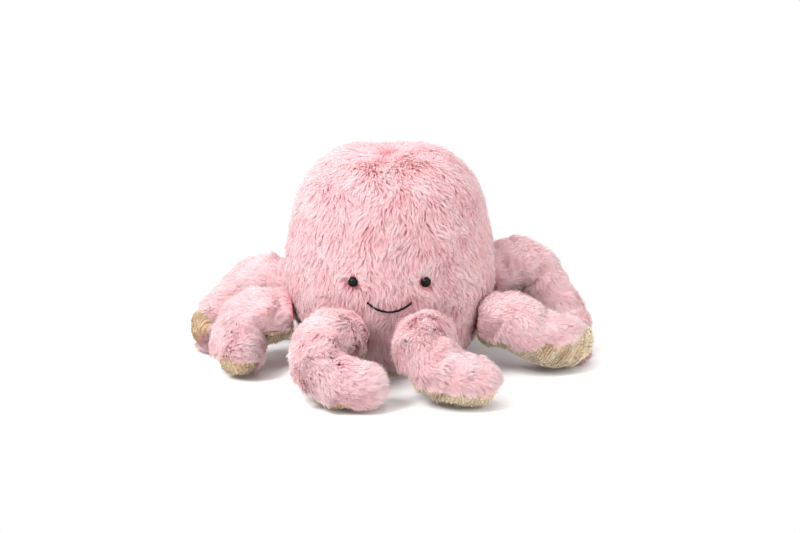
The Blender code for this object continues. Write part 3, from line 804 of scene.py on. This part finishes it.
def turned(name, profile, look, at=(0, 0, 0), axis=(0, 0, 1), sides=64, lump=0.0, lump_size=0.02, fine=0.0):
    """A closed turned form: profile holds (radius, height) from its top to its bottom."""
    profile = np.array(profile, float)
    angle = np.arange(sides) / sides * 2 * np.pi
    up = unit(np.array(axis, float))
    side = unit(np.cross(up, (0.3, 0.9, 0.31)))
    front = np.cross(up, side)
    ring = np.cos(angle)[:, None] * side + np.sin(angle)[:, None] * front
    places = profile[:, 0][:, None, None] * ring[None] + profile[:, 1][:, None, None] * up
    run = np.gradient(profile, axis=0)
    outward = -run[:, 1][:, None, None] * ring[None] + run[:, 0][:, None, None] * up
    outward = unit(outward)
    if lump or fine:
        flat = places.reshape(-1, 3)
        move = lump * hash_noise(flat, lump_size, 13) + fine * hash_noise(flat, lump_size / 5, 17)
        places = places + outward * (move.reshape(len(profile), sides) - (lump + fine) * 0.5)[..., None]
    number = np.arange(len(profile) * sides).reshape(len(profile), sides)
    after = np.roll(number, -1, axis=1)
    quads = np.stack([number[:-1], number[1:], after[1:], after[:-1]], axis=-1).reshape(-1, 4)
    ends = []
    centres = []
    for row, first, second in ((0, number, after), (-1, after, number)):
        centres.append(places[row].mean(axis=0))
        last = np.full(sides, len(profile) * sides + len(centres) - 1)
        ends.append(np.stack([first[row], second[row], last], axis=-1))
    places = np.concatenate([places.reshape(-1, 3), centres]) + np.array(at)
    return show(name, mesh_of(name, places, quads, np.concatenate(ends)), look)


BASE_THICKNESS, BASE_BULGE, BASE_RIB = 0.003, 0.0008, 0.00035
LEAST_RADIUS = 0.0004
across = np.linspace(LEAST_RADIUS, BASE_RADIUS, int(BASE_RADIUS / RIB_PITCH * 6))
height = BASE_RIB + BASE_RIB * np.cos(across / RIB_PITCH * 2 * np.pi)
edge = [(LEAST_RADIUS, BASE_THICKNESS), (BASE_RADIUS, BASE_THICKNESS)]
edge += [(BASE_RADIUS + BASE_BULGE, BASE_THICKNESS / 2), *zip(across[::-1], height[::-1])]
# The short pile pressed on the ground: matt, with a faint bloom from its fibre ends.
pressed_plush = textured(
    "ribbed_beige_plush_base", ("D9B78C", "F0D9B2"), 1.2, {"Roughness": 0.9, "Sheen Weight": 0.3}, 0.0003
)
base = turned("base_ribbed_cloth", edge, pressed_plush, sides=96)
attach(base, "body")
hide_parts("base_panel")


# Filling: loose white crimped polyester fibre, pushed in by hand through a gap in a seam,
# so it fills the form in soft lumps. It keeps under the backing everywhere.
DEEP = 0.0068
# Crimped fibre scatters light like snow: white, quite matt, and streaked along one way.
loose_fibre = textured(
    "loose_polyester_fibre",
    ("DEDCD6", "FAF9F6"),
    1.6,
    {"Roughness": 0.95, "Sheen Weight": 0.5},
    0.0006,
    (1, 1, 0.25),
)
line, _ = sunk_line(90, DEEP)
line = line[(line[:, 0] > 0.0005) & (line[:, 1] > 0.0045)]
filling = turned("body_filling", line, loose_fibre, sides=120, lump=0.0018, lump_size=0.024, fine=0.0007)
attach(filling, "body")
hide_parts("body_stuffing")


# Pouch: a cotton bag of plastic pellets, tied shut and laid in the base, keeps the toy
# upright. It is slack, so the pellets' lumps show through the cloth.
POUCH_RADIUS, POUCH_HEIGHT, POUCH_FLOOR = 0.040, 0.026, 0.0033
half = POUCH_HEIGHT / 2
flat = POUCH_RADIUS - half
flats = flat * np.linspace(0.02, 0.95, 8)
rim = np.radians(np.linspace(90, -90, 40))
outline = [(r, POUCH_FLOOR + POUCH_HEIGHT) for r in flats]
outline += [(flat + half * math.cos(a) * 0.99, POUCH_FLOOR + half + half * math.sin(a)) for a in rim]
outline += [(r, POUCH_FLOOR) for r in flats[::-1]]
# Unbleached plain-woven cotton, 0.45 mm from thread to thread: dull and slightly uneven.
cotton = textured(
    "woven_pouch_cotton", ("D8CFBC", "EFE8D8"), 0.45, {"Roughness": 0.9}, 0.0001, kind="weave"
)
pouch = turned("pellet_bag", outline, cotton, sides=120, lump=0.0010, lump_size=0.012, fine=0.0007)
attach(pouch, "body")
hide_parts("pellet_pouch")


# Tentacle filling: the same loose fibre, pushed down each tentacle with a rod. It is one
# length on the toy; here it is cut at the hinge, with both ends rounded off.
FILLING_GAP, FILLING_STEP, FILLING_ROUND = 0.003, 0.0016, 0.009
for name, limb in limbs.items():
    for part, start, end in limb_parts(limb):
        if part == "root":
            first, last = start + 0.001, end - FILLING_GAP
        else:
            first, last = start + FILLING_GAP, end - DEEP
        rings = int((last - first) / FILLING_STEP)
        places, along, outward = limb.skin(first, last, 0, 360, rings, 40, DEEP + 0.0012)
        reach = np.minimum(np.arange(rings), np.arange(rings)[::-1]) * (last - first) / (rings - 1)
        shut = np.sqrt(np.clip(1 - (1 - np.clip(reach / FILLING_ROUND, 0, 1)) ** 2, 0.001, 1))
        centre = places.mean(axis=1, keepdims=True)
        places = centre + (places - centre) * shut[:, None, None]
        flat = places.reshape(-1, 3)
        rough = (0.0007 * hash_noise(flat, 0.006, 23) - 0.0004).reshape(rings, -1) * shut[:, None]
        places = places + outward * rough[..., None]
        corners, _, _, faces = grid_skin(places, outward, outward)
        piece = f"{name}_{part}_filling"
        made = show(piece, mesh_of(piece, corners, faces), loose_fibre)
        hinge_blend(made, part)
        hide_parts(f"{name}_{part}_stuffing")


# Eyes: black plastic domes moulded with a grooved shank, which passes through the fur and
# its backing. A white plastic washer is pressed on it from inside and locks on a groove.
EYE_REACH, SHANK_RADIUS, SHANK_LENGTH = 0.0900, 0.0014, 0.0140
SHANK_WAIST = SHANK_RADIUS * 0.82
WASHER_BORE, WASHER_RADIUS, WASHER_DEPTH = 0.0017, 0.0065, 0.0016
# Polished black plastic: almost a mirror, but its lamps' reflections are small and sharp.
glossy_black = textured(
    "glossy_black_plastic", ("020202", "040404"), 3.0, {"Roughness": 0.06, "Specular IOR Level": 0.18}
)
# Moulded polypropylene, as it leaves the mould: satin and slightly uneven.
washer_white = textured("moulded_white_plastic", ("E2E2DE", "EDEDE9"), 2.0, {"Roughness": 0.45}, 0.00004)
for side_name, side in (("left", -1), ("right", 1)):
    spot = np.array([side * EYE_ASIDE, -math.sqrt(EYE_REACH**2 - EYE_ASIDE**2), EYE_HEIGHT])
    ahead = unit(np.array([spot[0], spot[1], 0]))
    bend = np.radians(np.linspace(87, 0, 24))
    dome = [(EYE_RADIUS * math.cos(a), EYE_RADIUS * math.sin(a)) for a in bend]
    dome += [(EYE_RADIUS, -0.0002), (EYE_RADIUS - 0.0003, -0.0005)]
    dome += [(SHANK_RADIUS + 0.0004, -0.0005), (SHANK_RADIUS, -0.0009)]
    for groove in np.linspace(0.0040, 0.0100, 5):
        dome += [(SHANK_RADIUS, -groove), (SHANK_WAIST, -groove - 0.0005)]
        dome += [(SHANK_RADIUS, -groove - 0.0006)]
    dome += [(SHANK_RADIUS, -SHANK_LENGTH + 0.0029), (SHANK_RADIUS * 0.7, -SHANK_LENGTH + 0.0021)]
    eye = turned(f"{side_name}_glass_look_eye", dome, glossy_black, at=spot, axis=ahead, sides=48)
    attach(eye, "body")
    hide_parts(f"{side_name}_eye")
    disc = [(WASHER_BORE, 0.0), (WASHER_RADIUS - 0.0005, 0.0), (WASHER_RADIUS, -0.0004)]
    disc += [(WASHER_RADIUS, -0.0012), (WASHER_RADIUS - 0.0005, -WASHER_DEPTH), (0.0030, -WASHER_DEPTH)]
    disc += [(0.0024, -0.0012), (WASHER_BORE, -0.0012)]
    seat = spot - ahead * 0.0027
    washer = turned(f"{side_name}_lock_washer", disc, washer_white, at=seat, axis=ahead, sides=48)
    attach(washer, "body")
    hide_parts(f"{side_name}_eye_washer")


# Mouth: a smile in black embroidery thread, two plies twisted, worked in short stitches
# that dip into the cloth where they meet. A little of the pile lies over its middle.
PLY_RADIUS, PLY_TURN, STITCH = 0.00055, 0.0026, 0.0045
PLY_SIDES = 10
STITCH_PROUD, STITCH_DIP = 0.0003, 0.0006
steps = 260
share = np.linspace(-1, 1, steps)
height = MOUTH_HEIGHT + MOUTH_RISE * share**2
across = share * MOUTH_WIDTH / 2
line = head_line(60)
radius = np.interp(height, line[::-1, 1], line[::-1, 0])
at = np.abs(across)
reach = radius + STITCH_PROUD - STITCH_DIP * (np.abs(np.cos(at / STITCH * np.pi)) ** 6)
middle = np.stack([across, -np.sqrt(reach**2 - across**2), height], axis=1)
ahead = unit(np.gradient(middle, axis=0))
outward = unit(middle * (1, 1, 0))
beside = unit(np.cross(ahead, outward))
outward = np.cross(beside, ahead)
twist = np.cumsum(np.full(steps, MOUTH_WIDTH / steps)) / PLY_TURN * 2 * np.pi
rings = []
quads = []
around = np.arange(PLY_SIDES) / PLY_SIDES * 2 * np.pi
ring = beside[:, None] * np.cos(around)[None, :, None] + outward[:, None] * np.sin(around)[None, :, None]
thin = PLY_RADIUS * np.clip((1 - np.abs(share)) / 0.03, 0.25, 1)[:, None]
for ply in (0, np.pi):
    turn = (twist + ply)[:, None]
    centre = middle + thin * (beside * np.cos(turn) + outward * np.sin(turn))
    tube = centre[:, None] + thin[:, None] * ring
    number = np.arange(steps * PLY_SIDES).reshape(steps, PLY_SIDES) + sum(len(r) for r in rings)
    after = np.roll(number, -1, axis=1)
    quads.append(np.stack([number[:-1], after[:-1], after[1:], number[1:]], axis=-1).reshape(-1, 4))
    rings.append(tube.reshape(-1, 3))
# Mercerised cotton thread: deep black, with only a soft lustre along its twist.
black_thread = textured(
    "black_embroidery_thread",
    ("080606", "161211"),
    0.25,
    {"Roughness": 0.7, "Specular IOR Level": 0.15},
    0.00005,
)
thread_mesh = mesh_of("mouth_thread", np.concatenate(rings), np.concatenate(quads))
smile = show("mouth_thread", thread_mesh, black_thread)
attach(smile, "body")
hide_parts("mouth_stitching")
